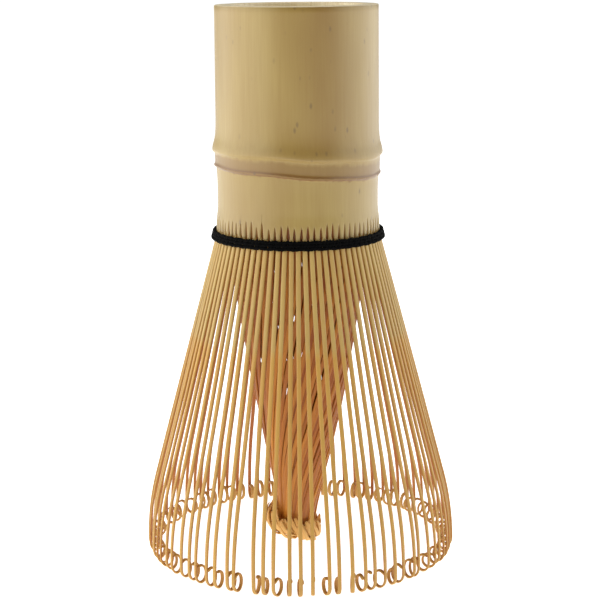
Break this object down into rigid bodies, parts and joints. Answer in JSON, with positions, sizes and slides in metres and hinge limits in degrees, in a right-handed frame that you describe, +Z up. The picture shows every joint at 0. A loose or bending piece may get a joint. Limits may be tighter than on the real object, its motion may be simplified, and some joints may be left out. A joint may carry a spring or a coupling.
{
  "type": "bamboo tea whisk",
  "caption": "Bamboo tea whisk: hollow culm handle split into splayed outer tines and a twisted inner cone, bound with black thread.",
  "frame": {"origin": "on the culm's axis, level with the tips of the outer tines, which the whisk stands on", "axes": "+Z up the culm from the tips to the handle's cut end; -Y is the side facing the viewer, +X to the viewer's right"},
  "size_m": [0.0604, 0.0604, 0.106],
  "materials": {
    "culm": "dry, lightly polished bamboo rind with fine vertical fibres",
    "outer_tine": "shaved bamboo, satin",
    "inner_tine": "shaved bamboo, darker inside the cone",
    "thread": "black twisted cotton"
  },
  "bodies": {
    "handle": {"handle_culm": "culm", "binding_thread": "thread", "inner_tines_01": "inner_tine", "inner_tines_02": "inner_tine", "inner_tines_03": "inner_tine", "inner_tines_04": "inner_tine", "inner_tines_05": "inner_tine", "inner_tines_06": "inner_tine", "inner_tines_07": "inner_tine", "inner_tines_08": "inner_tine", "inner_tines_09": "inner_tine", "inner_tines_10": "inner_tine", "inner_tines_11": "inner_tine", "inner_tines_12": "inner_tine", "inner_tines_13": "inner_tine", "inner_tines_14": "inner_tine", "inner_tines_15": "inner_tine", "inner_tines_16": "inner_tine"},
    "tines_01": {"outer_tines_01": "outer_tine"},
    "tines_02": {"outer_tines_02": "outer_tine"},
    "tines_03": {"outer_tines_03": "outer_tine"},
    "tines_04": {"outer_tines_04": "outer_tine"},
    "tines_05": {"outer_tines_05": "outer_tine"},
    "tines_06": {"outer_tines_06": "outer_tine"},
    "tines_07": {"outer_tines_07": "outer_tine"},
    "tines_08": {"outer_tines_08": "outer_tine"},
    "tines_09": {"outer_tines_09": "outer_tine"},
    "tines_10": {"outer_tines_10": "outer_tine"},
    "tines_11": {"outer_tines_11": "outer_tine"},
    "tines_12": {"outer_tines_12": "outer_tine"},
    "tines_13": {"outer_tines_13": "outer_tine"},
    "tines_14": {"outer_tines_14": "outer_tine"},
    "tines_15": {"outer_tines_15": "outer_tine"},
    "tines_16": {"outer_tines_16": "outer_tine"}
  },
  "joints": [
    {"name": "flex_01", "type": "hinge", "parent": "handle", "child": "tines_01", "pos_m": [0.0153, 0, 0.063], "axis": [0, -1, 0], "range_deg": [-3, 6], "stiffness_Nm_per_rad": 0.0145},
    {"name": "flex_02", "type": "hinge", "parent": "handle", "child": "tines_02", "pos_m": [0.01414, 0.00586, 0.063], "axis": [0.3827, -0.9239, 0], "range_deg": [-3, 6], "stiffness_Nm_per_rad": 0.0145},
    {"name": "flex_03", "type": "hinge", "parent": "handle", "child": "tines_03", "pos_m": [0.01082, 0.01082, 0.063], "axis": [0.7071, -0.7071, 0], "range_deg": [-3, 6], "stiffness_Nm_per_rad": 0.0145},
    {"name": "flex_04", "type": "hinge", "parent": "handle", "child": "tines_04", "pos_m": [0.00586, 0.01414, 0.063], "axis": [0.9239, -0.3827, 0], "range_deg": [-3, 6], "stiffness_Nm_per_rad": 0.0145},
    {"name": "flex_05", "type": "hinge", "parent": "handle", "child": "tines_05", "pos_m": [0, 0.0153, 0.063], "axis": [1, 0, 0], "range_deg": [-3, 6], "stiffness_Nm_per_rad": 0.0145},
    {"name": "flex_06", "type": "hinge", "parent": "handle", "child": "tines_06", "pos_m": [-0.00586, 0.01414, 0.063], "axis": [0.9239, 0.3827, 0], "range_deg": [-3, 6], "stiffness_Nm_per_rad": 0.0145},
    {"name": "flex_07", "type": "hinge", "parent": "handle", "child": "tines_07", "pos_m": [-0.01082, 0.01082, 0.063], "axis": [0.7071, 0.7071, 0], "range_deg": [-3, 6], "stiffness_Nm_per_rad": 0.0145},
    {"name": "flex_08", "type": "hinge", "parent": "handle", "child": "tines_08", "pos_m": [-0.01414, 0.00586, 0.063], "axis": [0.3827, 0.9239, 0], "range_deg": [-3, 6], "stiffness_Nm_per_rad": 0.0145},
    {"name": "flex_09", "type": "hinge", "parent": "handle", "child": "tines_09", "pos_m": [-0.0153, 0, 0.063], "axis": [0, 1, 0], "range_deg": [-3, 6], "stiffness_Nm_per_rad": 0.0145},
    {"name": "flex_10", "type": "hinge", "parent": "handle", "child": "tines_10", "pos_m": [-0.01414, -0.00586, 0.063], "axis": [-0.3827, 0.9239, 0], "range_deg": [-3, 6], "stiffness_Nm_per_rad": 0.0145},
    {"name": "flex_11", "type": "hinge", "parent": "handle", "child": "tines_11", "pos_m": [-0.01082, -0.01082, 0.063], "axis": [-0.7071, 0.7071, 0], "range_deg": [-3, 6], "stiffness_Nm_per_rad": 0.0145},
    {"name": "flex_12", "type": "hinge", "parent": "handle", "child": "tines_12", "pos_m": [-0.00586, -0.01414, 0.063], "axis": [-0.9239, 0.3827, 0], "range_deg": [-3, 6], "stiffness_Nm_per_rad": 0.0145},
    {"name": "flex_13", "type": "hinge", "parent": "handle", "child": "tines_13", "pos_m": [0, -0.0153, 0.063], "axis": [-1, 0, 0], "range_deg": [-3, 6], "stiffness_Nm_per_rad": 0.0145},
    {"name": "flex_14", "type": "hinge", "parent": "handle", "child": "tines_14", "pos_m": [0.00586, -0.01414, 0.063], "axis": [-0.9239, -0.3827, 0], "range_deg": [-3, 6], "stiffness_Nm_per_rad": 0.0145},
    {"name": "flex_15", "type": "hinge", "parent": "handle", "child": "tines_15", "pos_m": [0.01082, -0.01082, 0.063], "axis": [-0.7071, -0.7071, 0], "range_deg": [-3, 6], "stiffness_Nm_per_rad": 0.0145},
    {"name": "flex_16", "type": "hinge", "parent": "handle", "child": "tines_16", "pos_m": [0.01414, -0.00586, 0.063], "axis": [-0.3827, -0.9239, 0], "range_deg": [-3, 6], "stiffness_Nm_per_rad": 0.0145}
  ]
}
